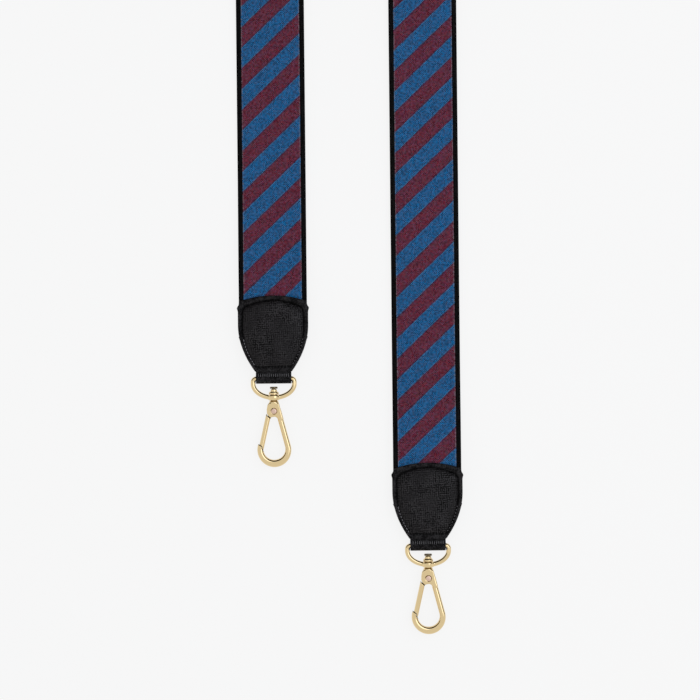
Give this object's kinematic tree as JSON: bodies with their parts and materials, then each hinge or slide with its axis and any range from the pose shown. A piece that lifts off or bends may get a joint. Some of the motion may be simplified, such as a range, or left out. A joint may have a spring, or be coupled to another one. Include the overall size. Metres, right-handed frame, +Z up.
{
  "type": "detachable bag strap",
  "caption": "Wide woven shoulder strap with diagonal stripes, leather backing and tabs, and a swivel snap hook on a D-ring at each end.",
  "frame": {"origin": "middle of the bounding box, on the table that the strap lies on", "axes": "+Z up from the table, +Y along the legs towards the bend of the strap, +X to the right seen from above"},
  "size_m": [0.1326, 0.5632, 0.0401],
  "materials": {
    "jacquard_cloth": "woven, matte",
    "black_leather": "cross-grained, semi-matte",
    "pad_foam": "matte",
    "core_board": "matte",
    "pale_gold": "polished",
    "spring_steel": "drawn"
  },
  "bodies": {
    "strap": {"leather_backing": "black_leather", "jacquard_ribbon": "jacquard_cloth", "left_tab_front": "black_leather", "left_tab_padding": "pad_foam", "left_tab_core": "core_board", "left_tab_back": "black_leather", "left_ring_loop": "black_leather", "right_tab_front": "black_leather", "right_tab_padding": "pad_foam", "right_tab_core": "core_board", "right_tab_back": "black_leather", "right_ring_loop": "black_leather"},
    "left_ring": {"left_d_ring": "pale_gold"},
    "left_hook": {"left_hook_body": "pale_gold", "left_swivel_washer": "pale_gold", "left_swivel_cap": "pale_gold", "left_gate_rivet": "pale_gold", "left_gate_spring": "spring_steel"},
    "left_gate": {"left_gate": "pale_gold"},
    "right_ring": {"right_d_ring": "pale_gold"},
    "right_hook": {"right_hook_body": "pale_gold", "right_swivel_washer": "pale_gold", "right_swivel_cap": "pale_gold", "right_gate_rivet": "pale_gold", "right_gate_spring": "spring_steel"},
    "right_gate": {"right_gate": "pale_gold"}
  },
  "joints": [
    {"name": "left_ring_hinge", "type": "hinge", "parent": "strap", "child": "left_ring", "pos_m": [-0.04485, -0.13063, 0.0035], "axis": [1, 0, 0], "range_deg": [-110, 110]},
    {"name": "left_hook_swivel", "type": "hinge", "parent": "left_ring", "child": "left_hook", "pos_m": [-0.04485, -0.14143, 0.0035], "axis": [0, 1, 0], "continuous": true},
    {"name": "left_gate_hinge", "type": "hinge", "parent": "left_hook", "child": "left_gate", "pos_m": [-0.04485, -0.14968, 0.0035], "axis": [0, 0, 1], "range_deg": [0, 24], "stiffness_Nm_per_rad": 0.05, "springref_deg": -20.05},
    {"name": "right_ring_hinge", "type": "hinge", "parent": "strap", "child": "right_ring", "pos_m": [0.04485, -0.22973, 0.0035], "axis": [1, 0, 0], "range_deg": [-110, 110]},
    {"name": "right_hook_swivel", "type": "hinge", "parent": "right_ring", "child": "right_hook", "pos_m": [0.04485, -0.24053, 0.0035], "axis": [0, 1, 0], "continuous": true},
    {"name": "right_gate_hinge", "type": "hinge", "parent": "right_hook", "child": "right_gate", "pos_m": [0.04485, -0.24878, 0.0035], "axis": [0, 0, 1], "range_deg": [0, 24], "stiffness_Nm_per_rad": 0.05, "springref_deg": -20.05}
  ]
}
